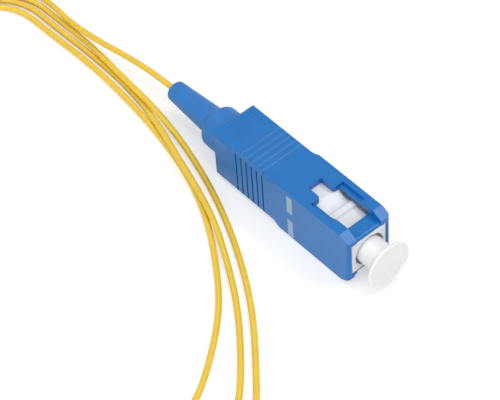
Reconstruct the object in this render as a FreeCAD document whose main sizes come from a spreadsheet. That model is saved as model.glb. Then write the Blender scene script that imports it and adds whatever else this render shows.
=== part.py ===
"""Fibre optic pigtail: a square push-pull connector with its dust cap, on a buffered fibre laid in loops.

Millimetres. X runs along the plug, rear to front, and Z is up. The origin is on the table, under the
plug's axis and near the middle of the outer housing.
"""
import FreeCAD, Part
import math
import os

import Sketcher

Vector = FreeCAD.Vector

# Driving sizes, which the document's spreadsheet holds
SIZES = {
    # Outer housing, the sleeve that slides on the plug frame
    "front_reach": 12.2,
    "housing_length": 26.83,
    "housing_width": 7.66,
    "housing_height": 9.0,
    "land_length": 3.27,
    "bevel_runout": 1.1,
    "bevel_width": 0.42,
    "bevel_drop": 0.8,
    "side_wall": 0.68,
    "top_wall": 0.95,
    "rear_top_wall": 1.2,
    "step_setback": 0.6,
    "end_wall": 3.13,
    "nose_corner_radius": 0.5,
    "rail_chamfer_length": 1.6,
    "rail_chamfer_drop": 0.86,
    "edge_cut": 0.1,
    # Window in the housing's top and bottom, and the bar in front of it
    "bar_length": 2.45,
    "bar_thickness": 0.42,
    "bar_lip_radius": 0.34,
    "bar_setback": 0.1,
    "lower_channel_width": 5.3,
    "window_length": 5.65,
    "window_width": 4.4,
    "slot_length": 2.48,
    "slot_width": 2.4,
    "slot_corner_radius": 0.4,
    "ledge_margin": 0.7,
    "ledge_drop": 0.55,
    "ledge_flat": 3.1,
    "ledge_ramp": 1.5,
    # Grip grooves down the sides, and ribs above and below
    "plateau_length": 4.42,
    "groove_pitch": 1.07,
    "groove_count": 6,
    "groove_width": 0.27,
    "side_groove_depth": 0.2,
    "side_groove_drop": 0.8,
    "rib_drop": 0.03,
    "rib_rise": 0.09,
    "rib_ramp_rear": 1.1,
    "rib_ramp_front": 1.0,
    "plateau_edge_reach": 0.8,
    "rib_edge_width": 0.14,
    "rib_edge_drop": 0.42,
    # Shallow blank panel on the housing's rear plateau
    "panel_setback": 0.8,
    "panel_length": 2.05,
    "panel_width": 4.9,
    "panel_depth": 0.06,
    # Key on the housing's hidden side
    "key_setback": 2.6,
    "key_length": 10.5,
    "key_width": 2.4,
    "key_rise": 0.8,
    # Ink marks on the housing's near side
    "mark_setback": 10.89,
    "mark_length": 1.07,
    "mark_height": 3.2,
    "mark_gap": 1.5,
    "mark_drop": 0.25,
    "ink_thickness": 0.03,
    # Plug frame, with the latch ridges that the housing's bars ride over
    "slide_gap_side": 0.06,
    "slide_gap_top": 0.08,
    "stop_gap": 0.05,
    "plug_length": 21.25,
    "nose_proud": 0.05,
    "nose_height": 5.5,
    "nose_edge_cut": 0.2,
    "rib_width": 4.3,
    "corner_height": 4.4,
    "corner_lead": 0.5,
    "ridge_setback": 2.3,
    "ridge_height": 6.3,
    "ridge_front_slope": 0.2,
    "ridge_land": 0.75,
    "ridge_back_slope": 0.6,
    "valley_height": 5.44,
    "valley_length": 0.6,
    "body_slope": 1.4,
    "nose_bore": 5.0,
    "nose_bore_depth": 4.65,
    "stop_wall": 0.8,
    "spring_bore": 4.5,
    "snap_window_length": 2.0,
    "snap_window_setback": 1.5,
    "snap_window_width": 2.2,
    # Stop ring behind the spring
    "insert_gap": 0.05,
    "insert_length": 6.7,
    "insert_bore": 3.3,
    "insert_bore_length": 4.0,
    "collar_diameter": 5.8,
    "collar_length": 1.2,
    "barrel_diameter": 3.8,
    "barrel_length": 6.8,
    "barrel_bore": 2.0,
    "barrel_groove_depth": 0.15,
    "lug_gap": 0.1,
    "lug_rise": 0.3,
    # Ferrule, its flange and the fibre's guide tube
    "ferrule_diameter": 2.5,
    "ferrule_length": 10.5,
    "ferrule_proud": 1.15,
    "ferrule_tip_cut": 0.5,
    "fibre_diameter": 0.125,
    "fibre_hole_gap": 0.002,
    "grip_gap": 0.01,
    "flange_diameter": 4.1,
    "flange_length": 1.55,
    "flange_boss_diameter": 3.2,
    "flange_boss_length": 0.6,
    "flange_boss_gap": 0.1,
    "flange_tube_diameter": 2.9,
    "flange_tube_length": 6.7,
    "flange_notch_width": 0.7,
    "flange_notch_depth": 0.45,
    "flange_notch_count": 4,
    "guide_tube_diameter": 1.6,
    "guide_tube_bore": 1.0,
    "guide_tube_length": 13.6,
    "spring_wire": 0.45,
    "spring_turns": 6,
    "spring_gap": 0.06,
    # Boot
    "boot_setback": 3.3,
    "boot_length": 14.35,
    "boot_collar_length": 4.9,
    "boot_collar_diameter": 6.5,
    "boot_shoulder_diameter": 6.34,
    "boot_shoulder_length": 0.9,
    "boot_shoulder_radius": 0.9,
    "boot_root_radius": 0.5,
    "boot_root_diameter": 4.2,
    "boot_tip_diameter": 3.05,
    "boot_tip_radius": 0.35,
    "boot_fibre_gap": 0.04,
    "rear_opening_gap": 0.1,
    # Dust cap
    "cap_fit_gap": 0.02,
    "cap_barrel_diameter": 4.15,
    "cap_barrel_length": 6.65,
    "cap_cover": 4.4,
    "cap_tip_room": 0.4,
    "cap_disc_diameter": 7.2,
    "cap_disc_thickness": 0.45,
    "cap_root_radius": 0.4,
    "cap_rim_width": 0.45,
    "cap_dish_slope": 0.15,
    "cap_dish_depth": 0.08,
    "cap_rim_radius": 0.2,
    # Buffered fibre, its put-away coil and the coil's tie
    "cord_diameter": 0.9,
    "buffer_setback": 1.3,
    "floor_gap": 0.02,
    "hank_inner_diameter": 12.6,
    "hank_outer_diameter": 19.8,
    "hank_height": 3.6,
    "hank_edge_cut": 0.8,
    "tie_thickness": 0.3,
    "tie_width": 3.0,
    "tie_gap": 0.1,
    "overcut": 1.0,
}

doc = FreeCAD.newDocument("fibre_pigtail")
sheet = doc.addObject("Spreadsheet::Sheet", "Sizes")
for row, (size_name, size) in enumerate(SIZES.items(), 1):
    sheet.set(f"A{row}", size_name)
    sheet.set(f"B{row}", str(size))
    sheet.setAlias(f"B{row}", size_name)
doc.recompute()

# Places and sizes that follow from the driving ones, as expressions. Heights are from the plug's axis.
AXIS_HEIGHT = "(Sizes.housing_height / 2)"
OVERCUT = "Sizes.overcut"
FRONT = "Sizes.front_reach"
REAR = "(Sizes.front_reach - Sizes.housing_length)"
HALF_WIDTH = "(Sizes.housing_width / 2)"
RIB_HALF_HEIGHT = f"({AXIS_HEIGHT} - Sizes.rib_drop)"
VALLEY_HALF_HEIGHT = f"({RIB_HALF_HEIGHT} - Sizes.rib_rise)"
BAR_REAR = "(Sizes.front_reach - Sizes.bar_length)"
WINDOW_REAR = f"({BAR_REAR} - Sizes.window_length)"
SLOT_REAR = f"({WINDOW_REAR} - Sizes.slot_length)"
BEVEL_FRONT = f"({SLOT_REAR} - Sizes.land_length)"
BEVEL_REAR = f"({BEVEL_FRONT} - Sizes.bevel_runout)"
CAVITY_STEP = f"({BEVEL_FRONT} - Sizes.step_setback)"
END_WALL = f"({REAR} + Sizes.end_wall)"
FIRST_GROOVE = f"({REAR} + Sizes.plateau_length)"
GROOVE_SPREAD = "((Sizes.groove_count - 1) * Sizes.groove_pitch)"
FIRST_VALLEY = f"({FIRST_GROOVE} + Sizes.groove_width)"
LAST_VALLEY = f"({FIRST_VALLEY} + {GROOVE_SPREAD})"
CAVITY_WIDTH = "(Sizes.housing_width - 2 * Sizes.side_wall)"
CAVITY_HALF = f"({AXIS_HEIGHT} - Sizes.top_wall)"
REAR_CAVITY_HALF = f"({AXIS_HEIGHT} - Sizes.rear_top_wall)"
NOSE_HALF = "(Sizes.nose_height / 2)"
OPENING_HALF = f"({NOSE_HALF} + Sizes.slide_gap_top)"
BAR_HALF = f"({OPENING_HALF} + Sizes.bar_thickness)"
PLUG_FRONT = "(Sizes.front_reach + Sizes.nose_proud)"
PLUG_REAR = f"({PLUG_FRONT} - Sizes.plug_length)"
NOSE_BORE_END = f"({PLUG_FRONT} - Sizes.nose_bore_depth)"
STOP_WALL_REAR = f"({NOSE_BORE_END} - Sizes.stop_wall)"
BOSS_HOLE = "(Sizes.flange_boss_diameter / 2 + Sizes.flange_boss_gap)"
STOP_FRONT = f"({PLUG_REAR} + Sizes.insert_length)"
COLLAR_REAR = f"({PLUG_REAR} - Sizes.collar_length)"
BARREL_REAR = f"({COLLAR_REAR} - Sizes.barrel_length)"
INSERT_RADIUS = "(Sizes.spring_bore / 2 - Sizes.insert_gap)"
SNAP_REAR = f"({PLUG_REAR} + Sizes.snap_window_setback)"
SNAP_FRONT = f"({SNAP_REAR} + Sizes.snap_window_length)"
FLANGE_FRONT = f"({STOP_WALL_REAR} - Sizes.stop_gap)"
FLANGE_REAR = f"({FLANGE_FRONT} - Sizes.flange_length)"
BOSS_FRONT = f"({FLANGE_FRONT} + Sizes.flange_boss_length)"
TUBE_REAR = f"({FLANGE_REAR} - Sizes.flange_tube_length)"
FERRULE_FRONT = f"({PLUG_FRONT} + Sizes.ferrule_proud)"
FERRULE_REAR = f"({FERRULE_FRONT} - Sizes.ferrule_length)"
FERRULE_RADIUS = "(Sizes.ferrule_diameter / 2)"
FIBRE_RADIUS = "(Sizes.fibre_diameter / 2)"
FIBRE_HOLE = f"({FIBRE_RADIUS} + Sizes.fibre_hole_gap)"
GUIDE_FRONT = f"({FERRULE_REAR} - Sizes.stop_gap)"
GUIDE_REAR = f"({GUIDE_FRONT} - Sizes.guide_tube_length)"
BUFFER_FRONT = f"({FERRULE_REAR} - Sizes.buffer_setback)"
BOOT_FRONT = f"({COLLAR_REAR} - Sizes.boot_setback)"
BOOT_REAR = f"({BOOT_FRONT} - Sizes.boot_length)"
BOOT_SHOULDER = f"({BOOT_FRONT} - Sizes.boot_collar_length)"
BOOT_ROOT = f"({BOOT_SHOULDER} - Sizes.boot_shoulder_length)"
BOOT_BORE = "(Sizes.barrel_diameter / 2 + Sizes.grip_gap)"
BOOT_BORE_END = f"({BARREL_REAR} - Sizes.stop_gap)"
BOOT_HOLE = "(Sizes.cord_diameter / 2 + Sizes.boot_fibre_gap)"
CAP_REAR = f"({FERRULE_FRONT} - Sizes.cap_cover)"
DISC_REAR = f"({CAP_REAR} + Sizes.cap_barrel_length)"
DISC_FRONT = f"({DISC_REAR} + Sizes.cap_disc_thickness)"
CAP_BORE = f"({FERRULE_RADIUS} + Sizes.cap_fit_gap)"

# The cord's route: points by hand where it is seen or crosses itself, loose turns from three corners
LOW = SIZES["cord_diameter"] / 2 + SIZES["floor_gap"]
CORD_LEAD = [(-32.5, 0.0, 4.4), (-38.5, -0.25, 3.6), (-45.0, -0.75, 2.6), (-51.0, -0.85, 1.8),
             (-56.5, -0.3, 1.4)]
CORD_STRANDS = [
    [(14.5, -22.1, LOW), (7.0, -16.1, LOW), (-1.5, -11.1, LOW), (-10.9, -6.9, LOW), (-20.5, -4.1, 0.9),
     (-28.5, -2.9, 1.75), (-38.5, -2.1, 1.55), (-46.5, -1.25, 1.15), (-53.5, -1.05, LOW)],
    [(13.2, -23.5, LOW), (5.6, -17.4, LOW), (-1.5, -13.2, 0.7), (-8.0, -10.0, 1.45), (-14.5, -7.9, 1.5),
     (-20.5, -6.2, 1.5), (-26.0, -4.55, 1.45), (-32.0, -2.9, LOW), (-39.0, -2.15, LOW), (-46.5, -2.1, LOW),
     (-53.5, -2.35, LOW)],
    [(10.2, -26.6, LOW), (3.9, -19.1, LOW), (-3.0, -14.0, LOW), (-10.0, -9.8, LOW), (-17.5, -6.9, LOW),
     (-26.0, -4.95, LOW), (-35.0, -3.8, LOW), (-44.0, -3.35, LOW), (-52.5, -3.7, LOW)],
]
CORD_TAIL = [(-65.1, -15.6, 1.5), (-64.9, -20.0, 1.5), (-64.85, -25.0, 1.5), (-64.9, -31.0, 1.0),
             (-64.95, -37.5, 0.85), (-64.95, -42.5, 0.75)]
FAR_CENTRE = (-57.0, -12.5)
FAR_RADII = (12.4, 11.3, 10.1, 8.7)
NEAR_CENTRE = (-5.15, -41.75)
NEAR_RADII = (12.8, 11.7, 10.1)
FRONT_CENTRES = ((13.2, -30.9), (11.55, -31.75), (7.3, -34.6))
FRONT_RADII = (7.5, 7.0, 6.5)
BACK_HEADING = 180.0
SIDE_HEADING = 330.6
NEAR_HEADING = 407.0
STRAND_HEADINGS = (499.5, 495.0, 485.0)
TAIL_HEADING = 250.0
HANK_CENTRE = (-55.5, -43.5)


def number(expression):
    """The value of an expression in the sheet's sizes."""
    return float(sheet.evalExpression(expression))


def new_body(label):
    """A body whose own origin lies on the plug's axis."""
    body = doc.addObject("PartDesign::Body", label)
    body.setExpression("Placement.Base.z", AXIS_HEIGHT)
    return body


def new_sketch(body, role, offset=None):
    """A sketch on one of the body's origin planes, moved along the plane's normal by an expression."""
    sketch = body.newObject("Sketcher::SketchObject", f"{body.Label}_sketch")
    plane = next(item for item in body.Origin.OriginFeatures if item.Role == role)
    sketch.AttachmentSupport = (plane, [""])
    sketch.MapMode = "FlatFace"
    if offset:
        sketch.setExpression("AttachmentOffset.Base.z", offset)
    return sketch


def add_loop(sketch, corners, closing_rise=None):
    """Draw a closed outline whose corners are pairs of expressions, each bound to the sheet.

    With a closing rise, the last side of a counter-clockwise outline is an arc that bulges by that much.
    """
    first = sketch.GeometryCount
    places = [Vector(number(across), number(up), 0) for across, up in corners]
    for start, end in zip(places, places[1:]):
        sketch.addGeometry(Part.LineSegment(start, end), False)
    start, end = places[-1], places[0]
    if closing_rise:
        outward = (end - start).cross(Vector(0, 0, 1)).normalize()
        crest = (start + end) / 2 + outward * number(closing_rise)
        closing = sketch.addGeometry(Part.Arc(start, crest, end), False)
        half_span = f"(({corners[-1][0]} - {corners[0][0]}) / 2)"
        radius = f"({half_span}^2 + {closing_rise}^2) / (2 * {closing_rise})"
        bound = sketch.addConstraint(Sketcher.Constraint("Radius", closing, number(radius)))
        sketch.setExpression(f"Constraints[{bound}]", radius)
    else:
        sketch.addGeometry(Part.LineSegment(start, end), False)
    count = len(corners)
    for index in range(count):
        following = first + (index + 1) % count
        sketch.addConstraint(Sketcher.Constraint("Coincident", first + index, 2, following, 1))
    for index, (place, corner) in enumerate(zip(places, corners)):
        for kind, size, expression in zip(("DistanceX", "DistanceY"), place, corner):
            bound = sketch.addConstraint(Sketcher.Constraint(kind, -1, 1, first + index, 1, size))
            sketch.setExpression(f"Constraints[{bound}]", expression)


def mirrored(corners):
    """The same outline on the other side of the sketch's horizontal axis."""
    return [(across, f"-({up})") for across, up in corners]


def feature(body, kind, sketch, **settings):
    """A feature made from a sketch. Text settings of lengths and angles are expressions."""
    made = body.newObject(f"PartDesign::{kind}", f"{body.Label}_{kind.lower()}")
    made.Profile = sketch
    for name, setting in settings.items():
        if name in ("Length", "Angle", "Height", "Turns"):
            made.setExpression(name, setting)
        else:
            setattr(made, name, setting)
    doc.recompute()
    return made


def cut_both_ways(body, role, loops, width):
    """Cut outlines through the body, to half the width on each side of their plane."""
    sketch = new_sketch(body, role)
    for loop in loops:
        add_loop(sketch, loop)
    before = body.Shape.Volume
    cut = feature(body, "Pocket", sketch, SideType="Symmetric", Length=width)
    if body.Shape.Volume > before - 1e-6:
        raise ValueError(f"{cut.Label} cuts nothing")
    return cut


def pattern(body, original, kind, direction, **settings):
    """Repeat one feature along, or around, an axis."""
    made = body.newObject(f"PartDesign::{kind}", f"{body.Label}_{kind.lower()}")
    made.Originals = [original]
    axis = next(item for item in body.Origin.OriginFeatures if item.Role == direction)
    setattr(made, "Direction" if kind == "LinearPattern" else "Axis", (axis, [""]))
    for name, setting in settings.items():
        made.setExpression(name, setting)
    body.Tip = made
    doc.recompute()
    return made


def dress(body, kind, size_property, size, chosen):
    """Round or bevel the edges of the body's last feature for which chosen(edge) holds."""
    base = body.Tip
    names = [f"Edge{i}" for i, edge in enumerate(base.Shape.Edges, 1) if chosen(edge)]
    if not names:
        raise ValueError(f"no edge of {body.Label} to dress")
    made = body.newObject(f"PartDesign::{kind}", f"{body.Label}_{kind.lower()}")
    made.Base = (base, names)
    made.setExpression(size_property, size)
    doc.recompute()
    return made


def near(value, expression):
    """True if a measured value is the one that an expression gives."""
    return abs(value - number(expression)) < 1e-4


def upright(edge):
    """True for an edge that runs straight up."""
    box = edge.BoundBox
    return box.ZLength > max(box.XLength, box.YLength)


def ring_edge(edge, place, radius):
    """True for a full circle around the plug's axis at a place along it."""
    if not isinstance(edge.Curve, Part.Circle):
        return False
    return near(edge.Curve.Center.x, place) and near(edge.Curve.Radius, radius)


def turned(label, corners):
    """A body turned about the plug's axis from pairs of place and radius."""
    body = new_body(label)
    sketch = new_sketch(body, "XY_Plane")
    add_loop(sketch, corners)
    feature(body, "Revolution", sketch, ReferenceAxis=(sketch, ["H_Axis"]), Angle="360")
    return body


def outer_housing():
    """The square sleeve: bevelled at the rear, hollow inside, with a T window above and below."""
    body = new_body("outer_housing")
    plan = new_sketch(body, "XY_Plane")
    side = [(REAR, HALF_WIDTH), (FRONT, HALF_WIDTH)]
    add_loop(plan, side + mirrored(side)[::-1])
    feature(body, "Pad", plan, SideType="Symmetric", Length="Sizes.housing_height")

    def front_upright(edge):
        return all(near(v.X, FRONT) for v in edge.Vertexes) and upright(edge)

    dress(body, "Fillet", "Radius", "Sizes.nose_corner_radius", front_upright)

    above = f"({AXIS_HEIGHT} + {OVERCUT})"
    ramp_rear = f"({FIRST_VALLEY} - Sizes.rib_ramp_rear)"
    ramp_front = f"({LAST_VALLEY} + Sizes.rib_ramp_front)"
    ribbed = [(ramp_rear, AXIS_HEIGHT), (FIRST_VALLEY, VALLEY_HALF_HEIGHT), (LAST_VALLEY, VALLEY_HALF_HEIGHT),
              (ramp_front, AXIS_HEIGHT), (ramp_front, above), (ramp_rear, above)]
    cut_both_ways(body, "XZ_Plane", [ribbed, mirrored(ribbed)], "2 * Sizes.housing_width")

    housing_ribs(body)
    housing_bevels(body)
    housing_grooves(body)
    housing_cavity(body)
    housing_window(body)
    housing_rails(body)
    housing_panel(body)

    key_front = f"({FRONT} - Sizes.key_setback)"
    key_rear = f"({key_front} - Sizes.key_length)"
    root = f"({HALF_WIDTH} - Sizes.side_wall / 2)"
    crest = f"({HALF_WIDTH} + Sizes.key_rise)"
    key = new_sketch(body, "XY_Plane")
    add_loop(key, [(key_rear, root), (key_front, root), (key_front, HALF_WIDTH),
                   (f"({key_front} - Sizes.key_rise)", crest), (key_rear, crest)])
    feature(body, "Pad", key, SideType="Symmetric", Length="Sizes.key_width")
    return body


def housing_bevels(body):
    """Bevel the four long edges, widely at the rear. The ribs reach over the near upper edge's bevel."""
    wide, slight = ("Sizes.bevel_width", "Sizes.bevel_drop"), ("Sizes.edge_cut", "Sizes.edge_cut")
    rear, runout = (REAR, AXIS_HEIGHT, *wide), (BEVEL_REAR, AXIS_HEIGHT, *wide)
    front_runs = [[runout, (BEVEL_FRONT, AXIS_HEIGHT, *slight)],
                  [(BEVEL_FRONT, AXIS_HEIGHT, *slight), (FRONT, AXIS_HEIGHT, *slight)]]
    plateau_end = (f"({FIRST_GROOVE} - Sizes.plateau_edge_reach)", AXIS_HEIGHT, *wide)
    rib_edge = (RIB_HALF_HEIGHT, "Sizes.rib_edge_width", "Sizes.side_groove_drop")
    ribbed_runs = [
        [rear, plateau_end],
        [plateau_end, (FIRST_GROOVE, AXIS_HEIGHT, "Sizes.rib_edge_width", "Sizes.rib_edge_drop")],
        [(FIRST_GROOVE, *rib_edge), (LAST_VALLEY, *rib_edge)],
        [(LAST_VALLEY, AXIS_HEIGHT, *wide), runout],
    ]
    for hand, face in ((-1, 1), (1, 1), (-1, -1), (1, -1)):
        rear_runs = ribbed_runs if (hand, face) == (-1, 1) else [[rear, runout]]
        for run in rear_runs + front_runs:
            sections = []
            for place, top, width, drop in run:
                inner = f"{hand} * ({HALF_WIDTH} - {width} - {OVERCUT} * {width} / {drop})"
                lower = f"{face} * ({top} - {drop} - {OVERCUT} * {drop} / {width})"
                outer, upper = f"{hand} * ({HALF_WIDTH} + {OVERCUT})", f"{face} * ({top} + {OVERCUT})"
                section = new_sketch(body, "YZ_Plane", place)
                add_loop(section, [(inner, upper), (outer, lower), (outer, upper)])
                sections.append(section)
            feature(body, "SubtractiveLoft", sections[0], Sections=sections[1:], Ruled=True)


def housing_ribs(body):
    """Soft grip ribs above and below, each an arch from one valley to the next."""
    front = f"({FIRST_VALLEY} + Sizes.groove_pitch)"
    root = f"({VALLEY_HALF_HEIGHT} - Sizes.rib_rise)"
    rib = [(FIRST_VALLEY, VALLEY_HALF_HEIGHT), (FIRST_VALLEY, root), (front, root),
           (front, VALLEY_HALF_HEIGHT)]
    sketch = new_sketch(body, "XZ_Plane")
    add_loop(sketch, rib, "Sizes.rib_rise")
    add_loop(sketch, mirrored(rib)[::-1], "Sizes.rib_rise")
    first = feature(body, "Pad", sketch, SideType="Symmetric", Length="Sizes.housing_width")
    pattern(body, first, "LinearPattern", "X_Axis", Length=f"{GROOVE_SPREAD} - Sizes.groove_pitch",
            Occurrences="Sizes.groove_count - 1")


def housing_grooves(body):
    """Square grip grooves down the sides, in line with the valleys between the ribs."""
    outer = f"({HALF_WIDTH} + {OVERCUT})"
    floor = f"({HALF_WIDTH} - Sizes.side_groove_depth)"
    square = [(FIRST_GROOVE, floor), (FIRST_VALLEY, floor), (FIRST_VALLEY, outer), (FIRST_GROOVE, outer)]
    sides = new_sketch(body, "XY_Plane", f"({RIB_HALF_HEIGHT} - Sizes.side_groove_drop)")
    add_loop(sides, square)
    add_loop(sides, mirrored(square))
    side_groove = feature(body, "Pocket", sides, Length="Sizes.housing_height")
    pattern(body, side_groove, "LinearPattern", "X_Axis", Length=GROOVE_SPREAD,
            Occurrences="Sizes.groove_count")


def housing_rails(body):
    """Bevel the front ends of the rails beside the bars."""
    low = f"({AXIS_HEIGHT} - Sizes.rail_chamfer_drop)"
    rear = f"({FRONT} - Sizes.rail_chamfer_length)"
    mouth, above = f"({FRONT} + {OVERCUT})", f"({AXIS_HEIGHT} + {OVERCUT})"
    bevel = [(rear, AXIS_HEIGHT), (FRONT, low), (mouth, low), (mouth, above), (rear, above)]
    for hand in (1, -1):
        rail = new_sketch(body, "XZ_Plane", f"{hand} * (Sizes.window_width + Sizes.housing_width) / 2")
        add_loop(rail, bevel)
        add_loop(rail, mirrored(bevel))
        feature(body, "Pocket", rail, SideType="Symmetric", Length="Sizes.housing_width")


def housing_panel(body):
    """The shallow blank panel on the rear plateau."""
    rear = f"({REAR} + Sizes.panel_setback)"
    front = f"({rear} + Sizes.panel_length)"
    floor, above = f"({AXIS_HEIGHT} - Sizes.panel_depth)", f"({AXIS_HEIGHT} + {OVERCUT})"
    panel = [(rear, floor), (front, floor), (front, above), (rear, above)]
    cut_both_ways(body, "XZ_Plane", [panel], "Sizes.panel_width")


def housing_cavity(body):
    """The inside: a narrow mouth between the bars, the main cavity, the rear one and a round way out."""
    mouth = f"({FRONT} + {OVERCUT})"
    half = [(mouth, OPENING_HALF), (BAR_REAR, OPENING_HALF), (BAR_REAR, CAVITY_HALF),
            (CAVITY_STEP, CAVITY_HALF), (CAVITY_STEP, REAR_CAVITY_HALF), (END_WALL, REAR_CAVITY_HALF)]
    cut_both_ways(body, "XZ_Plane", [half + mirrored(half)[::-1]], CAVITY_WIDTH)

    hole = new_sketch(body, "YZ_Plane", f"({END_WALL} + {OVERCUT})")
    hole.addGeometry(Part.Circle(Vector(), Vector(0, 0, 1), number("Sizes.boot_collar_diameter / 2")), False)
    hole.addConstraint(Sketcher.Constraint("Coincident", 0, 3, -1, 1))
    bound = hole.addConstraint(Sketcher.Constraint("Radius", 0, 1.0))
    hole.setExpression(f"Constraints[{bound}]", "Sizes.boot_collar_diameter / 2 + Sizes.rear_opening_gap")
    feature(body, "Pocket", hole, Length=f"Sizes.end_wall + 2 * {OVERCUT}")


def housing_window(body):
    """The T window, its sloped cam ledges and the channel over each bar."""
    wide, narrow = "(Sizes.window_width / 2)", "(Sizes.slot_width / 2)"
    tee = [(BAR_REAR, wide), (WINDOW_REAR, wide), (WINDOW_REAR, narrow), (SLOT_REAR, narrow)]
    cut_both_ways(body, "XY_Plane", [tee + mirrored(tee)[::-1]], "2 * Sizes.housing_height")

    def slot_corner(edge):
        at_corner = all(near(v.X, WINDOW_REAR) and near(abs(v.Y), narrow) for v in edge.Vertexes)
        return at_corner and upright(edge)

    dress(body, "Fillet", "Radius", "Sizes.slot_corner_radius", slot_corner)

    above = f"({AXIS_HEIGHT} + {OVERCUT})"
    ledge = f"({AXIS_HEIGHT} - Sizes.ledge_drop)"
    flat_end = f"({WINDOW_REAR} + Sizes.ledge_flat)"
    ramp_end = f"({flat_end} + Sizes.ledge_ramp)"
    cam = [(WINDOW_REAR, ledge), (flat_end, ledge), (ramp_end, AXIS_HEIGHT), (ramp_end, above),
           (WINDOW_REAR, above)]
    cut_both_ways(body, "XZ_Plane", [cam, mirrored(cam)], "Sizes.window_width + 2 * Sizes.ledge_margin")

    mouth = f"({FRONT} + {OVERCUT})"
    inside = f"({BAR_REAR} - {OVERCUT} / 2)"
    channel = [(inside, BAR_HALF), (mouth, BAR_HALF), (mouth, above), (inside, above)]
    cut_both_ways(body, "XZ_Plane", [channel], "Sizes.window_width")
    lower_channel = [(BAR_REAR if along == inside else along, up) for along, up in mirrored(channel)]
    cut_both_ways(body, "XZ_Plane", [lower_channel], "Sizes.lower_channel_width")
    lip = f"({FRONT} - Sizes.bar_setback)"
    trim = [(lip, f"({OPENING_HALF} - {OVERCUT} / 2)"), (mouth, f"({OPENING_HALF} - {OVERCUT} / 2)"),
            (mouth, above), (lip, above)]
    cut_both_ways(body, "XZ_Plane", [trim, mirrored(trim)], "Sizes.window_width")

    def bar_lip(edge):
        return all(near(v.X, lip) and near(abs(v.Z), BAR_HALF) for v in edge.Vertexes)

    dress(body, "Fillet", "Radius", "Sizes.bar_lip_radius", bar_lip)


def index_marks():
    """Two white ink marks on the housing's near side, which show when the plug is home."""
    marks = []
    for face in (1, -1):
        mark = doc.addObject("Part::Box", "mark")
        mark.setExpression("Length", "Sizes.mark_length")
        mark.setExpression("Width", "Sizes.ink_thickness")
        mark.setExpression("Height", "Sizes.mark_height")
        middle = f"(Sizes.mark_gap + Sizes.mark_height) / 2 * {face} - Sizes.mark_drop"
        mark.setExpression("Placement.Base.x", f"{FRONT} - Sizes.mark_setback - Sizes.mark_length")
        mark.setExpression("Placement.Base.y", f"-{HALF_WIDTH} - Sizes.ink_thickness")
        mark.setExpression("Placement.Base.z", f"{middle} - Sizes.mark_height / 2")
        marks.append(mark)
    pair = doc.addObject("Part::Compound", "index_marks")
    pair.Links = marks
    pair.setExpression("Placement.Base.z", AXIS_HEIGHT)
    return pair


def plug_frame():
    """The inner plug: a square nose, a rib with a latch ridge above and below, and a stepped bore."""
    body = new_body("plug_frame")
    foot = f"({BAR_REAR} - Sizes.ridge_setback)"
    ridge_front = f"({foot} - Sizes.ridge_front_slope)"
    ridge_rear = f"({ridge_front} - Sizes.ridge_land)"
    valley_front = f"({ridge_rear} - Sizes.ridge_back_slope)"
    valley_rear = f"({valley_front} - Sizes.valley_length)"
    body_front = f"({valley_rear} - Sizes.body_slope)"
    shoulder = f"({CAVITY_STEP} + Sizes.stop_gap)"
    tall = f"({CAVITY_HALF} - Sizes.slide_gap_top)"
    low = f"({REAR_CAVITY_HALF} - Sizes.slide_gap_top)"
    ridge, valley = "(Sizes.ridge_height / 2)", "(Sizes.valley_height / 2)"
    half = [(PLUG_REAR, low), (shoulder, low), (shoulder, tall), (body_front, tall), (valley_rear, valley),
            (valley_front, valley), (ridge_rear, ridge), (ridge_front, ridge), (foot, NOSE_HALF),
            (f"({PLUG_FRONT} - Sizes.nose_edge_cut)", NOSE_HALF),
            (PLUG_FRONT, f"({NOSE_HALF} - Sizes.nose_edge_cut)")]
    profile = new_sketch(body, "XZ_Plane")
    add_loop(profile, half + mirrored(half)[::-1])
    feature(body, "Pad", profile, SideType="Symmetric", Length=f"{CAVITY_WIDTH} - 2 * Sizes.slide_gap_side")

    def nose_upright(edge):
        return all(near(v.X, PLUG_FRONT) for v in edge.Vertexes) and upright(edge)

    dress(body, "Chamfer", "Size", "Sizes.nose_edge_cut", nose_upright)

    corners = new_sketch(body, "YZ_Plane", BAR_REAR)
    rib, floor = "(Sizes.rib_width / 2)", "(Sizes.corner_height / 2)"
    for hand in (1, -1):
        for face in (1, -1):
            inner, outer = f"{hand} * {rib}", f"{hand} * {HALF_WIDTH}"
            low_edge, high_edge = f"{face} * {floor}", f"{face} * {AXIS_HEIGHT}"
            add_loop(corners, [(inner, low_edge), (outer, low_edge), (outer, high_edge), (inner, high_edge)])
    feature(body, "Pocket", corners, Length="Sizes.window_length + Sizes.corner_lead")

    mouth, tail = f"({PLUG_FRONT} + {OVERCUT})", f"({PLUG_REAR} - {OVERCUT})"
    nose, spring = "(Sizes.nose_bore / 2)", "(Sizes.spring_bore / 2)"
    bore = new_sketch(body, "XY_Plane")
    add_loop(bore, [(mouth, "0"), (mouth, nose), (NOSE_BORE_END, nose), (NOSE_BORE_END, BOSS_HOLE),
                    (STOP_WALL_REAR, BOSS_HOLE), (STOP_WALL_REAR, spring), (tail, spring), (tail, "0")])
    feature(body, "Groove", bore, ReferenceAxis=(bore, ["H_Axis"]), Angle="360")

    snap = "(Sizes.snap_window_width / 2)"
    window = [(SNAP_REAR, f"-{snap}"), (SNAP_FRONT, f"-{snap}"), (SNAP_FRONT, snap), (SNAP_REAR, snap)]
    cut_both_ways(body, "XZ_Plane", [window], "2 * Sizes.housing_width")
    return body


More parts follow.
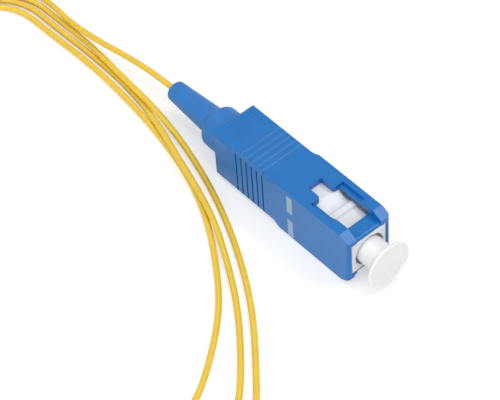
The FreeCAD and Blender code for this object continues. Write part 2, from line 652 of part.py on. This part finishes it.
def stop_ring():
    """The ring that snaps into the plug frame, backs the spring and carries the boot on its barrel."""
    bore, barrel_bore = "(Sizes.insert_bore / 2)", "(Sizes.barrel_bore / 2)"
    collar, barrel = "(Sizes.collar_diameter / 2)", "(Sizes.barrel_diameter / 2)"
    neck = f"({barrel} - Sizes.barrel_groove_depth)"
    bore_end = f"({STOP_FRONT} - Sizes.insert_bore_length)"
    third = "(Sizes.barrel_length / 3)"
    body = turned("stop_ring", [
        (STOP_FRONT, bore), (STOP_FRONT, INSERT_RADIUS), (PLUG_REAR, INSERT_RADIUS), (PLUG_REAR, collar),
        (COLLAR_REAR, collar), (COLLAR_REAR, barrel), (f"({COLLAR_REAR} - {third})", barrel),
        (f"({COLLAR_REAR} - {third})", neck), (f"({BARREL_REAR} + {third})", neck),
        (f"({BARREL_REAR} + {third})", barrel), (BARREL_REAR, barrel), (BARREL_REAR, barrel_bore),
        (bore_end, barrel_bore), (bore_end, bore)])
    lug_rear, lug_front = f"({SNAP_REAR} + Sizes.lug_gap)", f"({SNAP_FRONT} - Sizes.lug_gap)"
    root = f"({INSERT_RADIUS} - Sizes.lug_rise)"
    lug = [(lug_rear, root), (lug_front, root), (lug_front, INSERT_RADIUS),
           (lug_rear, f"({INSERT_RADIUS} + Sizes.lug_rise)")]
    lugs = new_sketch(body, "XY_Plane")
    add_loop(lugs, lug)
    add_loop(lugs, mirrored(lug))
    feature(body, "Pad", lugs, SideType="Symmetric", Length="Sizes.snap_window_width - 2 * Sizes.lug_gap")
    return body


def ferrule():
    """The ceramic ferrule, with a fine bore for the bare fibre and a bevelled tip."""
    tip = f"({FERRULE_RADIUS} - Sizes.ferrule_tip_cut / 2)"
    return turned("ferrule", [
        (FERRULE_REAR, FIBRE_HOLE), (FERRULE_REAR, FERRULE_RADIUS),
        (f"({FERRULE_FRONT} - Sizes.ferrule_tip_cut)", FERRULE_RADIUS), (FERRULE_FRONT, tip),
        (FERRULE_FRONT, FIBRE_HOLE)])


def ferrule_flange():
    """The metal flange pressed on the ferrule: a notched head, a front boss and a tube inside the spring."""
    head, boss = "(Sizes.flange_diameter / 2)", "(Sizes.flange_boss_diameter / 2)"
    tube = "(Sizes.flange_tube_diameter / 2)"
    grip = f"({FERRULE_RADIUS} + Sizes.grip_gap)"
    sleeve = "(Sizes.guide_tube_diameter / 2 + Sizes.grip_gap)"
    seat = f"({FERRULE_REAR} - Sizes.stop_gap / 2)"
    body = turned("ferrule_flange", [
        (TUBE_REAR, sleeve), (TUBE_REAR, tube), (FLANGE_REAR, tube), (FLANGE_REAR, head),
        (FLANGE_FRONT, head), (FLANGE_FRONT, boss), (BOSS_FRONT, boss), (BOSS_FRONT, grip), (seat, grip),
        (seat, sleeve)])
    half = "(Sizes.flange_notch_width / 2)"
    floor, outer = f"({head} - Sizes.flange_notch_depth)", f"({head} + {OVERCUT})"
    notch = new_sketch(body, "YZ_Plane", f"({FLANGE_FRONT} + {OVERCUT} / 4)")
    add_loop(notch, [(f"-{half}", floor), (half, floor), (half, outer), (f"-{half}", outer)])
    cut = feature(body, "Pocket", notch, Length=f"Sizes.flange_length + {OVERCUT} / 4")
    pattern(body, cut, "PolarPattern", "X_Axis", Angle="360", Occurrences="Sizes.flange_notch_count")
    return body


def guide_tube():
    """The thin tube behind the ferrule that leads the buffered fibre through the spring."""
    outer, inner = "(Sizes.guide_tube_diameter / 2)", "(Sizes.guide_tube_bore / 2)"
    return turned("guide_tube", [
        (GUIDE_REAR, inner), (GUIDE_REAR, outer), (GUIDE_FRONT, outer), (GUIDE_FRONT, inner)])


def spring():
    """The coil spring between the stop ring and the ferrule's flange, its wire drawn with eight sides."""
    body = new_body("spring")
    inset = "(Sizes.spring_gap + Sizes.spring_wire / 2)"
    middle = "((Sizes.spring_bore + Sizes.flange_tube_diameter) / 4)"
    start, end = f"({STOP_FRONT} + {inset})", f"({FLANGE_REAR} - {inset})"
    half, short = "(Sizes.spring_wire / 2)", "(Sizes.spring_wire / 2 * (sqrt(2) - 1))"
    upper = [(half, short), (short, half), (f"-{short}", half), (f"-{half}", short)]
    around = upper + mirrored(upper)[::-1]
    section = new_sketch(body, "XY_Plane")
    add_loop(section, [(f"({start} + {across})", f"({middle} + {up})") for across, up in around])
    feature(body, "AdditiveHelix", section, ReferenceAxis=(section, ["H_Axis"]), Mode="height-turns-angle",
            Height=f"{end} - {start}", Turns="Sizes.spring_turns")
    return body


def boot():
    """The bend-relief boot: a round collar, a soft shoulder and a tail that tapers to the fibre."""
    collar, shoulder = "(Sizes.boot_collar_diameter / 2)", "(Sizes.boot_shoulder_diameter / 2)"
    root, tip = "(Sizes.boot_root_diameter / 2)", "(Sizes.boot_tip_diameter / 2)"
    body = turned("boot", [
        (BOOT_FRONT, BOOT_BORE), (BOOT_FRONT, collar), (BOOT_SHOULDER, shoulder), (BOOT_ROOT, root),
        (BOOT_REAR, tip), (BOOT_REAR, BOOT_HOLE), (BOOT_BORE_END, BOOT_HOLE), (BOOT_BORE_END, BOOT_BORE)])
    rounds = [("shoulder", BOOT_SHOULDER, shoulder), ("root", BOOT_ROOT, root), ("tip", BOOT_REAR, tip)]
    for name, place, radius in rounds:
        dress(body, "Fillet", "Radius", f"Sizes.boot_{name}_radius", lambda e: ring_edge(e, place, radius))
    return body


def dust_cap():
    """The push-on cap: a thin barrel over the ferrule and a shallow dished disc to pull it by."""
    barrel, disc = "(Sizes.cap_barrel_diameter / 2)", "(Sizes.cap_disc_diameter / 2)"
    bore_end = f"({FERRULE_FRONT} + Sizes.cap_tip_room)"
    rim = f"({disc} - Sizes.cap_rim_width)"
    dish, dish_floor = f"({rim} - Sizes.cap_dish_slope)", f"({DISC_FRONT} - Sizes.cap_dish_depth)"
    body = turned("dust_cap", [
        (CAP_REAR, CAP_BORE), (CAP_REAR, barrel), (DISC_REAR, barrel), (DISC_REAR, disc), (DISC_FRONT, disc),
        (DISC_FRONT, rim), (dish_floor, dish), (dish_floor, "0"), (bore_end, "0"), (bore_end, CAP_BORE)])
    dress(body, "Fillet", "Radius", "Sizes.cap_root_radius", lambda e: ring_edge(e, DISC_REAR, barrel))
    dress(body, "Fillet", "Radius", "Sizes.cap_rim_radius",
          lambda e: ring_edge(e, DISC_REAR, disc) or ring_edge(e, DISC_FRONT, disc))
    return body


def straight_fibre(label, rear, front, diameter):
    """A straight length of fibre on the plug's axis."""
    fibre = doc.addObject("Part::Cylinder", label)
    fibre.setExpression("Radius", f"{diameter} / 2")
    fibre.setExpression("Height", f"{front} - {rear}")
    fibre.Placement.Rotation = FreeCAD.Rotation(Vector(0, 1, 0), 90)
    fibre.setExpression("Placement.Base.x", rear)
    fibre.setExpression("Placement.Base.z", AXIS_HEIGHT)
    return fibre


def corner_points(centre, radius, start, end, count):
    """Route points around an arc on the table, between two headings in degrees."""
    step = (end - start) / count
    reach = radius / math.cos(math.radians(step / 2))
    headings = [math.radians(start + step * (i + 0.5)) for i in range(count)]
    return [(centre[0] + reach * math.sin(a), centre[1] - reach * math.cos(a), LOW) for a in headings]


def bowed_points(first, last, shares, bow):
    """Route points between two others, on a line that bows outwards a little."""
    along, across = last[0] - first[0], last[1] - first[1]
    length = math.hypot(along, across)
    points = []
    for share in shares:
        out = 4 * bow * share * (1 - share) / length
        points.append((first[0] + share * along + out * across, first[1] + share * across - out * along, LOW))
    return points


def cord_points():
    """The cord's route from the boot, round three loose turns, to the put-away coil."""
    points = [(number(BOOT_REAR), 0.0, number(AXIS_HEIGHT))] + CORD_LEAD
    for turn, strand in enumerate(CORD_STRANDS):
        far = corner_points(FAR_CENTRE, FAR_RADII[turn], BACK_HEADING, SIDE_HEADING, 4)
        low = corner_points(NEAR_CENTRE, NEAR_RADII[turn], SIDE_HEADING, NEAR_HEADING, 3)
        front = corner_points(FRONT_CENTRES[turn], FRONT_RADII[turn], NEAR_HEADING, STRAND_HEADINGS[turn], 3)
        points += far + bowed_points(far[-1], low[0], (0.15, 0.42, 0.7, 0.88), 0.6)
        points += low + bowed_points(low[-1], front[0], (0.35, 0.75), 0.3)
        points += front + strand
    points += corner_points(FAR_CENTRE, FAR_RADII[-1], BACK_HEADING, TAIL_HEADING, 2)
    return [Vector(*point) for point in points + CORD_TAIL]


def fibre_loops():
    """The cord outside the coil: a tube of straight runs joined by tangent arcs."""
    points = cord_points()
    share = 0.45
    edges, radii = [], []
    here = points[0]
    for before, corner, after in zip(points, points[1:], points[2:]):
        into, onward = corner - before, after - corner
        half_turn = into.getAngle(onward) / 2
        reach = share * min(into.Length, onward.Length)
        radius = reach / math.tan(half_turn)
        into.normalize()
        onward.normalize()
        start, end = corner - into * reach, corner + onward * reach
        inward = (onward - into).normalize()
        middle = corner + inward * (radius / math.cos(half_turn) - radius)
        edges.append(Part.LineSegment(here, start).toShape())
        edges.append(Part.Arc(start, middle, end).toShape())
        radii.append(radius)
        here = end
    edges.append(Part.LineSegment(here, points[-1]).toShape())
    path = Part.Wire(edges)
    radius = SIZES["cord_diameter"] / 2
    ring = Part.Wire(Part.makeCircle(radius, points[0], points[1] - points[0]))
    tube = doc.addObject("Part::Feature", "fibre_loops")
    tube.Shape = path.makePipeShell([ring], True, False)
    expected = math.pi * radius ** 2 * path.Length
    print("cord radii", " ".join(f"{r:.1f}" for r in sorted(radii)))
    print(f"cord length {path.Length:.1f}, volume {tube.Shape.Volume:.2f}, by its section {expected:.2f}")
    return tube


def coil_body(label):
    """A body whose own origin is on the table in the middle of the put-away coil."""
    body = doc.addObject("PartDesign::Body", label)
    body.Placement.Base = Vector(*HANK_CENTRE, 0)
    return body


def fibre_hank():
    """The outer shape of the put-away coil."""
    body = coil_body("fibre_hank")
    inner, outer = "(Sizes.hank_inner_diameter / 2)", "(Sizes.hank_outer_diameter / 2)"
    low, high = "Sizes.tie_thickness", "(Sizes.tie_thickness + Sizes.hank_height)"
    section = new_sketch(body, "XZ_Plane")
    add_loop(section, [(inner, low), (outer, low), (outer, high), (inner, high)])
    feature(body, "Revolution", section, ReferenceAxis=(section, ["V_Axis"]), Angle="360")
    dress(body, "Chamfer", "Size", "Sizes.hank_edge_cut", lambda e: isinstance(e.Curve, Part.Circle))
    return body


def hank_tie():
    """The flat tie around the coil's turns."""
    body = coil_body("hank_tie")
    # The coil's inside curves away from the tie's edges, so the tie stands off its middle by that much more
    inner = "(sqrt((Sizes.hank_inner_diameter / 2)^2 - (Sizes.tie_width / 2)^2) - Sizes.tie_gap)"
    outer = "(Sizes.hank_outer_diameter / 2 + Sizes.tie_gap)"
    high = "(Sizes.tie_thickness + Sizes.hank_height + Sizes.tie_gap)"
    band = "Sizes.tie_thickness"
    near_side, far_side, top = f"-({inner} - {band})", f"-({outer} + {band})", f"({high} + {band})"
    section = new_sketch(body, "YZ_Plane")
    add_loop(section, [(far_side, "0"), (near_side, "0"), (near_side, top), (far_side, top)])
    add_loop(section, [(f"-{outer}", band), (f"-{inner}", band), (f"-{inner}", high), (f"-{outer}", high)])
    feature(body, "Pad", section, SideType="Symmetric", Length="Sizes.tie_width")
    return body


def main():
    pieces = [
        outer_housing(), index_marks(), plug_frame(), stop_ring(), ferrule(), ferrule_flange(), guide_tube(),
        spring(), boot(), dust_cap(),
        straight_fibre("bare_fibre", BUFFER_FRONT, FERRULE_FRONT, "Sizes.fibre_diameter"),
        straight_fibre("fibre_buffer", BOOT_REAR, BUFFER_FRONT, "Sizes.cord_diameter"),
        fibre_loops(), fibre_hank(), hank_tie(),
    ]
    doc.recompute()
    for item in doc.Objects:
        if "Invalid" in item.State or "Error" in item.State:
            raise ValueError(f"{item.Label} failed: {item.State}")
    for piece in pieces:
        if piece.Shape.isNull() or not piece.Shape.isValid():
            raise ValueError(f"{piece.Label} has no valid shape")
    os.makedirs("parts", exist_ok=True)
    for piece in pieces:
        piece.Shape.exportStep(f"parts/{piece.Label}.step")
        box = piece.Shape.BoundBox
        print(f"{piece.Label}: {len(piece.Shape.Solids)} solid, {piece.Shape.Volume:.2f} mm3,"
              f" x {box.XMin:.2f} to {box.XMax:.2f}, y {box.YMin:.2f} to {box.YMax:.2f},"
              f" z {box.ZMin:.2f} to {box.ZMax:.2f}")


main()
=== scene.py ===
import math

import bpy
from mathutils import Matrix, Vector


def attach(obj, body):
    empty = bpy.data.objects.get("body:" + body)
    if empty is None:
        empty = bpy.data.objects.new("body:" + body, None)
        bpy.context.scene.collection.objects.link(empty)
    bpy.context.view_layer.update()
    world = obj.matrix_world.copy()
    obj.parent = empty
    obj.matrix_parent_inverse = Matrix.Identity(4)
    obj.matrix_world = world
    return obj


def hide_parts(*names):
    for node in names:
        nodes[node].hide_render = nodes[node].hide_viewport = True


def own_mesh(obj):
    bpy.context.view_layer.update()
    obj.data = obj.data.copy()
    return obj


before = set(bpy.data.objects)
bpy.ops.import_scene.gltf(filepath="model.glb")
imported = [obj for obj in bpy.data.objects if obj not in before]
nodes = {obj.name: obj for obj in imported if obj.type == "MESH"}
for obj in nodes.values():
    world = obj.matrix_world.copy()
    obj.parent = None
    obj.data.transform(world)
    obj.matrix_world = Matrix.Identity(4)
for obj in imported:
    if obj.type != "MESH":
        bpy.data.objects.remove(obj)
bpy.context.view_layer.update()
MM = 0.001
WHITE = (1, 1, 1, 1)

# The camera: its angles in degrees, and its place in millimetres, along its own axes, from a point on the
# table
AZIMUTH, ELEVATION, ROLL = 52.19, 49.15, -4.42
AIM = (10.62, 0, 0)
TO_RIGHT, TO_TOP, TO_BACK = -14.91, 8.47, 290
SENSOR_WIDTH, FOCAL_LENGTH = 36, 156.12
CLIP_START = 0.001


def make_camera():
    """A long lens at the photograph's viewing angle."""
    azimuth, elevation, roll = (math.radians(angle) for angle in (AZIMUTH, ELEVATION, ROLL))
    back = Vector((math.sin(azimuth) * math.cos(elevation), -math.cos(azimuth) * math.cos(elevation),
                   math.sin(elevation)))
    level = Vector((math.cos(azimuth), math.sin(azimuth), 0))
    upright = back.cross(level)
    right = level * math.cos(roll) + upright * math.sin(roll)
    up = upright * math.cos(roll) - level * math.sin(roll)
    place = Vector(AIM) + right * TO_RIGHT + up * TO_TOP + back * TO_BACK
    turn = Matrix((right, up, back)).transposed().to_4x4()
    data = bpy.data.cameras.new("camera")
    data.sensor_width = SENSOR_WIDTH
    data.lens = FOCAL_LENGTH
    data.clip_start = CLIP_START
    camera = bpy.data.objects.new("camera", data)
    camera.matrix_world = Matrix.Translation(place * MM) @ turn
    bpy.context.scene.collection.objects.link(camera)
    bpy.context.scene.camera = camera


# The cord's diameter and route in millimetres, the same points as in the part's source. LOW is the height
# of a strand on the table.
CORD = 0.9
LOW = 0.47
LEAD = [(-27.85, 0.0, 4.5), (-32.5, 0.0, 4.4), (-38.5, -0.25, 3.6), (-45.0, -0.75, 2.6),
        (-51.0, -0.85, 1.8), (-56.5, -0.3, 1.4)]
FIRST_TURN = [
    (-61.23, -0.1, LOW), (-67.92, -5.26, LOW), (-70.07, -13.44, LOW), (-66.77, -21.23, LOW),
    (-58.24, -26.46, LOW), (-42.76, -35.63, LOW), (-26.52, -44.83, LOW), (-15.98, -50.57, LOW),
    (-8.91, -54.32, LOW), (-3.14, -54.72, LOW), (2.24, -52.59, LOW), (8.68, -46.45, LOW),
    (15.79, -39.18, LOW), (20.1, -34.5, LOW), (20.97, -30.46, LOW), (19.64, -26.54, LOW),
    (14.5, -22.1, LOW), (7.0, -16.1, LOW), (-1.5, -11.1, LOW), (-10.9, -6.9, LOW), (-20.5, -4.1, 0.9),
    (-28.5, -2.9, 1.75), (-38.5, -2.1, 1.55), (-46.5, -1.25, 1.15), (-53.5, -1.05, LOW)]
SECOND_TURN = [
    (-60.85, -1.2, LOW), (-66.95, -5.91, LOW), (-68.91, -13.36, LOW), (-65.9, -20.45, LOW),
    (-57.46, -25.64, LOW), (-42.12, -34.73, LOW), (-26.03, -43.84, LOW), (-15.59, -49.53, LOW),
    (-8.59, -53.24, LOW), (-3.31, -53.6, LOW), (1.6, -51.66, LOW), (7.51, -46.09, LOW),
    (14.0, -39.46, LOW), (17.92, -35.18, LOW), (18.78, -31.62, LOW), (17.8, -28.1, LOW),
    (13.2, -23.5, LOW), (5.6, -17.4, LOW), (-1.5, -13.2, 0.7), (-8.0, -10.0, 1.45), (-14.5, -7.9, 1.5),
    (-20.5, -6.2, 1.5), (-26.0, -4.55, 1.45), (-32.0, -2.9, LOW), (-39.0, -2.15, LOW),
    (-46.5, -2.1, LOW), (-53.5, -2.35, LOW)]
THIRD_TURN = [
    (-60.44, -2.4, LOW), (-65.9, -6.61, LOW), (-67.64, -13.27, LOW), (-64.96, -19.61, LOW),
    (-56.58, -24.68, LOW), (-41.37, -33.58, LOW), (-25.42, -42.49, LOW), (-15.06, -48.04, LOW),
    (-8.12, -51.67, LOW), (-3.57, -51.98, LOW), (0.68, -50.31, LOW), (5.21, -46.17, LOW),
    (10.14, -41.19, LOW), (13.08, -37.94, LOW), (13.95, -35.07, LOW), (13.49, -32.1, LOW),
    (10.2, -26.6, LOW), (3.9, -19.1, LOW), (-3.0, -14.0, LOW), (-10.0, -9.8, LOW), (-17.5, -6.9, LOW),
    (-26.0, -4.95, LOW), (-35.0, -3.8, LOW), (-44.0, -3.35, LOW), (-52.5, -3.7, LOW)]
TAIL = [(-59.74, -3.8, LOW), (-64.24, -6.95, LOW), (-65.1, -15.6, 1.5), (-64.9, -20.0, 1.5),
        (-64.85, -25.0, 1.5), (-64.9, -31.0, 1.0), (-64.95, -37.5, 0.85), (-64.95, -42.5, 0.75)]

# The put-away coil: rings side by side in flat layers, each layer wound the other way from the last.
# Headings are in degrees, and grow along the cord.
COIL_CENTRE = (-55.5, -43.5)
COIL_RADIUS = 9.45
COIL_HEIGHT = 0.75
COIL_LAYERS = 4
COIL_START, COIL_END, COIL_STEP = 195, 5460, 30
FULL_TURN = 360
FIRST_SHIFT = 450
LAYER_TURN = 1320
SHIFTS_A_LAYER = 3
SHIFT_SPAN = 60
RISE_AFTER = 1020
SIDES, STEPS = 5, 8  # the cord's smoothness around it and along it


def part_of(heading, start):
    """How far a shift that starts at a heading is done, from 0 to 1."""
    return min(max((heading - start) / SHIFT_SPAN, 0.0), 1.0)


def coil_points():
    """The coil's turns. A ring shifts by one diameter once a turn, and climbs where a layer is full."""
    reach = 1 / math.cos(math.radians(COIL_STEP / 2))
    points = []
    for heading in range(COIL_START, COIL_END + 1, COIL_STEP):
        inward = rise = 0.0
        for layer in range(COIL_LAYERS):
            first = FIRST_SHIFT + LAYER_TURN * layer
            for shift in range(SHIFTS_A_LAYER):
                inward += (-1) ** layer * part_of(heading, first + FULL_TURN * shift)
            if layer < COIL_LAYERS - 1:
                rise += part_of(heading, first + RISE_AFTER)
        angle = math.radians(heading)
        radius = (COIL_RADIUS - CORD * inward) * reach
        points.append((COIL_CENTRE[0] + radius * math.cos(angle),
                       COIL_CENTRE[1] + radius * math.sin(angle),
                       COIL_HEIGHT + CORD * rise))
    return points


def make_cord(material):
    """The buffered fibre, from the boot through its loose loops into the put-away coil."""
    route = LEAD + FIRST_TURN + SECOND_TURN + THIRD_TURN + TAIL + coil_points()
    curve = bpy.data.curves.new("buffered_fibre", "CURVE")
    curve.dimensions = "3D"
    curve.bevel_depth = CORD / 2 * MM
    curve.bevel_resolution = SIDES
    curve.resolution_u = STEPS
    curve.use_fill_caps = True
    line = curve.splines.new("NURBS")
    line.points.add(len(route) - 1)
    for point, place in zip(line.points, route):
        point.co = (*(Vector(place) * MM), 1)
    line.order_u = 3
    line.use_endpoint_u = True
    curve.materials.append(material)
    cord = bpy.data.objects.new("buffered_fibre", curve)
    bpy.context.scene.collection.objects.link(cord)
    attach(cord, "plug")
    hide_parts("fibre_loops", "fibre_hank")


def make_spring(material):
    """The coil spring as a piece of its own on the plug, in its rest shape. The real one shortens from its
    rear end when the ferrule is pressed back.
    """
    mesh = nodes["spring"].data.copy()
    mesh.materials.clear()
    mesh.materials.append(material)
    spring = bpy.data.objects.new("coil_spring", mesh)
    bpy.context.scene.collection.objects.link(spring)
    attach(spring, "plug")
    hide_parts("spring")
    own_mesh(spring)


# Surfaces: a noise's usual range, the grain's depth in millimetres, and the samples for a rounded edge
NOISE_LOW, NOISE_HIGH = 0.3, 0.7
GRAIN_DEPTH = 0.02
EDGE_SAMPLES = 6
# The colour sockets of a Mix node
MIX_FACTOR, MIX_FIRST, MIX_SECOND, MIX_RESULT = 0, 6, 7, 2

# One finish for each material slot of the record
MILKY = dict(Subsurface_Weight=0.4, Subsurface_Radius=(1, 1, 1), Subsurface_Scale=0.001)
FINISHES = {
    "housing_blue": dict(dark=(0.003, 0.143, 0.45), light=(0.004, 0.155, 0.48), rough=(0.26, 0.34),
                         edge=0.06, Specular_IOR_Level=0.4),
    "boot_blue": dict(dark=(0.012, 0.155, 0.46), light=(0.016, 0.172, 0.50), rough=(0.42, 0.54)),
    "mark_white": dict(dark=(0.255, 0.385, 0.545), light=(0.295, 0.425, 0.585), rough=(0.4, 0.5)),
    "frame_white": dict(dark=(0.745, 0.755, 0.785), light=(0.775, 0.785, 0.815), rough=(0.35, 0.45),
                        edge=0.08, **MILKY),
    "cap_white": dict(dark=(0.81, 0.815, 0.825), light=(0.85, 0.855, 0.86), rough=(0.22, 0.32), **MILKY),
    "ferrule_ceramic": dict(dark=(0.76, 0.75, 0.70), light=(0.80, 0.79, 0.75), rough=(0.1, 0.2),
                            bump=0.03),
    "ring_nickel": dict(dark=(0.52, 0.50, 0.46), light=(0.60, 0.58, 0.54), rough=(0.24, 0.4),
                        Metallic=1.0),
    "spring_steel": dict(dark=(0.45, 0.45, 0.46), light=(0.55, 0.55, 0.55), rough=(0.2, 0.34),
                         Metallic=1.0),
    "tube_clear": dict(dark=(0.62, 0.63, 0.62), light=(0.70, 0.71, 0.70), rough=(0.3, 0.4),
                       Transmission_Weight=0.4),
    "fibre_glass": dict(dark=(0.80, 0.84, 0.84), light=(0.85, 0.88, 0.88), rough=(0.03, 0.08), bump=0.02,
                        Transmission_Weight=0.8),
    "buffer_yellow": dict(dark=(0.755, 0.52, 0.036), light=(0.80, 0.565, 0.05), rough=(0.36, 0.5),
                          Subsurface_Weight=0.6, Subsurface_Radius=(1, 0.7, 0.15),
                          Subsurface_Scale=0.0006),
    "tie_black": dict(dark=(0.012, 0.012, 0.013), light=(0.022, 0.022, 0.024), rough=(0.45, 0.62)),
}

# The finish of each CAD node
NODE_FINISHES = {
    "outer_housing": "housing_blue", "index_marks": "mark_white", "plug_frame": "frame_white",
    "stop_ring": "ring_nickel", "ferrule": "ferrule_ceramic", "ferrule_flange": "ring_nickel",
    "guide_tube": "tube_clear", "spring": "spring_steel", "boot": "boot_blue", "dust_cap": "cap_white",
    "bare_fibre": "fibre_glass", "fibre_buffer": "buffer_yellow", "fibre_loops": "buffer_yellow",
    "fibre_hank": "buffer_yellow", "hank_tie": "tie_black",
}

# The table: half its width and its fade to plain white in metres, its drop in millimetres, its grey for
# the light that it throws back and for the rays that show the background, and its own light for those rays
TABLE_HALF = 3.0
FADE_START, FADE_END = 0.12, 0.36
TABLE_DROP = 0.01
TABLE_ROUGHNESS = 0.85
TABLE_GREY = (0.90, 0.90, 0.90)
SHOWN_GREY = (0.55, 0.55, 0.55)
SHOWN_GLOW = 0.49

# The light: the dome's strength on the part, and soft boxes with their direction, size in metres and watts
DOME_LIGHT = 0.32
LAMP_DISTANCE = 0.6
SOFT_BOXES = {
    "top_box": ((0.0, -0.10, 0.99), 0.45, 1.0),
    "front_box": ((0.36, 0.40, 0.84), 0.14, 0.45),
    "far_box": ((0.06, 0.40, 0.915), 0.15, 0.55),
    "rear_box": ((-0.52, -0.10, 0.84), 0.12, 0.15),
    "fill_box": ((0.75, -0.30, 0.59), 0.40, 1.0),
    "side_box": ((0.10, -0.95, 0.30), 0.50, 1.15),
}


def set_inputs(node, **values):
    """Set a node's input sockets, whose names are written with underscores for spaces."""
    for name, value in values.items():
        node.inputs[name.replace("_", " ")].default_value = value


def add_node(tree, kind, **settings):
    """A shader node with its settings. A name with a capital is an input socket's."""
    node = tree.nodes.new(kind)
    for name, value in settings.items():
        if name[0].isupper():
            set_inputs(node, **{name: value})
        else:
            setattr(node, name, value)
    return node


def new_material(name):
    """A material with its node tree and its shader."""
    material = bpy.data.materials.new(name)
    material.use_nodes = True
    return material, material.node_tree, material.node_tree.nodes["Principled BSDF"]


def blended(tree, pattern, first, second):
    """A colour between two, by a pattern's value."""
    mix = add_node(tree, "ShaderNodeMix", data_type="RGBA")
    mix.inputs[MIX_FIRST].default_value = (*first, 1)
    mix.inputs[MIX_SECOND].default_value = (*second, 1)
    tree.links.new(pattern, mix.inputs[MIX_FACTOR])
    return mix.outputs[MIX_RESULT]


def mapped(tree, value, **ends):
    """A value moved from one range to another."""
    node = add_node(tree, "ShaderNodeMapRange", **ends)
    tree.links.new(value, node.inputs["Value"])
    return node.outputs["Result"]


def spread(tree, pattern, low, high):
    """A noise's middle range, stretched from one number to another."""
    return mapped(tree, pattern, From_Min=NOISE_LOW, From_Max=NOISE_HIGH, To_Min=low, To_Max=high)


def finish_of(name, dark, light, rough, cloud=350, grain=9000, bump=0.08, edge=0.0, **shader):
    """A surface whose tone drifts a little, with a fine grain in its roughness and relief.

    cloud and grain are the scales of the two noises. edge is the radius in millimetres that the shading
    gives to sharp edges.
    """
    material, tree, base = new_material(name)
    set_inputs(base, **shader)
    place = add_node(tree, "ShaderNodeTexCoord").outputs["Object"]
    drift = add_node(tree, "ShaderNodeTexNoise", Scale=cloud, Detail=3.0)
    fine = add_node(tree, "ShaderNodeTexNoise", Scale=grain, Detail=2.0)
    for noise in (drift, fine):
        tree.links.new(place, noise.inputs["Vector"])
    tone = spread(tree, drift.outputs[0], 0, 1)
    tree.links.new(blended(tree, tone, dark, light), base.inputs["Base Color"])
    tree.links.new(spread(tree, fine.outputs[0], *rough), base.inputs["Roughness"])
    relief = add_node(tree, "ShaderNodeBump", Strength=bump, Distance=GRAIN_DEPTH * MM)
    tree.links.new(fine.outputs[0], relief.inputs["Height"])
    if edge:
        rounded = add_node(tree, "ShaderNodeBevel", samples=EDGE_SAMPLES, Radius=edge * MM)
        tree.links.new(rounded.outputs[0], relief.inputs["Normal"])
    tree.links.new(relief.outputs[0], base.inputs["Normal"])
    return material


def dress_nodes(materials):
    """Give each CAD node the finish of its slot."""
    for name, finish in NODE_FINISHES.items():
        nodes[name].data.materials.clear()
        nodes[name].data.materials.append(materials[finish])


def background_rays(tree):
    """One for the rays that show the background: seen directly, in a reflection or through glass."""
    path = add_node(tree, "ShaderNodeLightPath")
    total = path.outputs["Is Camera Ray"]
    for name in ("Is Glossy Ray", "Is Transmission Ray"):
        adder = add_node(tree, "ShaderNodeMath", operation="ADD", use_clamp=True)
        tree.links.new(total, adder.inputs[0])
        tree.links.new(path.outputs[name], adder.inputs[1])
        total = adder.outputs[0]
    return total


def table_finish():
    """The table's white.

    The rays that show the background see a part of it as the table's own light, so the part's shadow stays
    and takes little of the part's colour. Far from the part they see plain white.
    """
    material, tree, base = new_material("table_white")
    set_inputs(base, Roughness=TABLE_ROUGHNESS, Emission_Color=WHITE)
    rays = background_rays(tree)
    tree.links.new(blended(tree, rays, TABLE_GREY, SHOWN_GREY), base.inputs["Base Color"])
    tree.links.new(mapped(tree, rays, To_Min=0.0, To_Max=SHOWN_GLOW), base.inputs["Emission Strength"])
    distance = add_node(tree, "ShaderNodeVectorMath", operation="LENGTH")
    tree.links.new(add_node(tree, "ShaderNodeNewGeometry").outputs["Position"], distance.inputs[0])
    fade = add_node(tree, "ShaderNodeMath", operation="MULTIPLY")
    tree.links.new(rays, fade.inputs[0])
    tree.links.new(mapped(tree, distance.outputs["Value"], From_Min=FADE_START, From_Max=FADE_END),
                   fade.inputs[1])
    plain = add_node(tree, "ShaderNodeEmission", Color=WHITE, Strength=1.0)
    mix = add_node(tree, "ShaderNodeMixShader")
    for socket, source in zip(mix.inputs, (fade, base, plain)):
        tree.links.new(source.outputs[0], socket)
    tree.links.new(mix.outputs[0], tree.nodes["Material Output"].inputs["Surface"])
    return material


def make_table():
    """The table top under the part, which is not a piece of it."""
    corners = [(x * TABLE_HALF, y * TABLE_HALF, 0) for x, y in ((-1, -1), (1, -1), (1, 1), (-1, 1))]
    mesh = bpy.data.meshes.new("table")
    mesh.from_pydata(corners, [], [(0, 1, 2, 3)])
    mesh.materials.append(table_finish())
    table = bpy.data.objects.new("table", mesh)
    table.location.z = -TABLE_DROP * MM
    bpy.context.scene.collection.objects.link(table)


def make_dome():
    """An even dome of soft light, which shows as plain white."""
    world = bpy.data.worlds.new("dome")
    world.use_nodes = True
    tree = world.node_tree
    dome = tree.nodes["Background"]
    set_inputs(dome, Color=WHITE)
    strength = mapped(tree, background_rays(tree), To_Min=DOME_LIGHT, To_Max=1.0)
    tree.links.new(strength, dome.inputs["Strength"])
    bpy.context.scene.world = world


def add_soft_box(name, toward, size, energy):
    """A round soft box that faces the plug."""
    toward = Vector(toward).normalized()
    light = bpy.data.lights.new(name, "AREA")
    light.shape = "DISK"
    light.size = size
    light.energy = energy
    lamp = bpy.data.objects.new(name, light)
    lamp.location = toward * LAMP_DISTANCE
    lamp.rotation_euler = toward.to_track_quat("Z", "Y").to_euler()
    bpy.context.scene.collection.objects.link(lamp)


bpy.context.scene.view_settings.view_transform = "Standard"
make_camera()
finishes = {name: finish_of(name, **settings) for name, settings in FINISHES.items()}
make_cord(finishes["buffer_yellow"])
make_spring(finishes["spring_steel"])
dress_nodes(finishes)
make_table()
make_dome()
for name, (toward, size, energy) in SOFT_BOXES.items():
    add_soft_box(name, toward, size, energy)
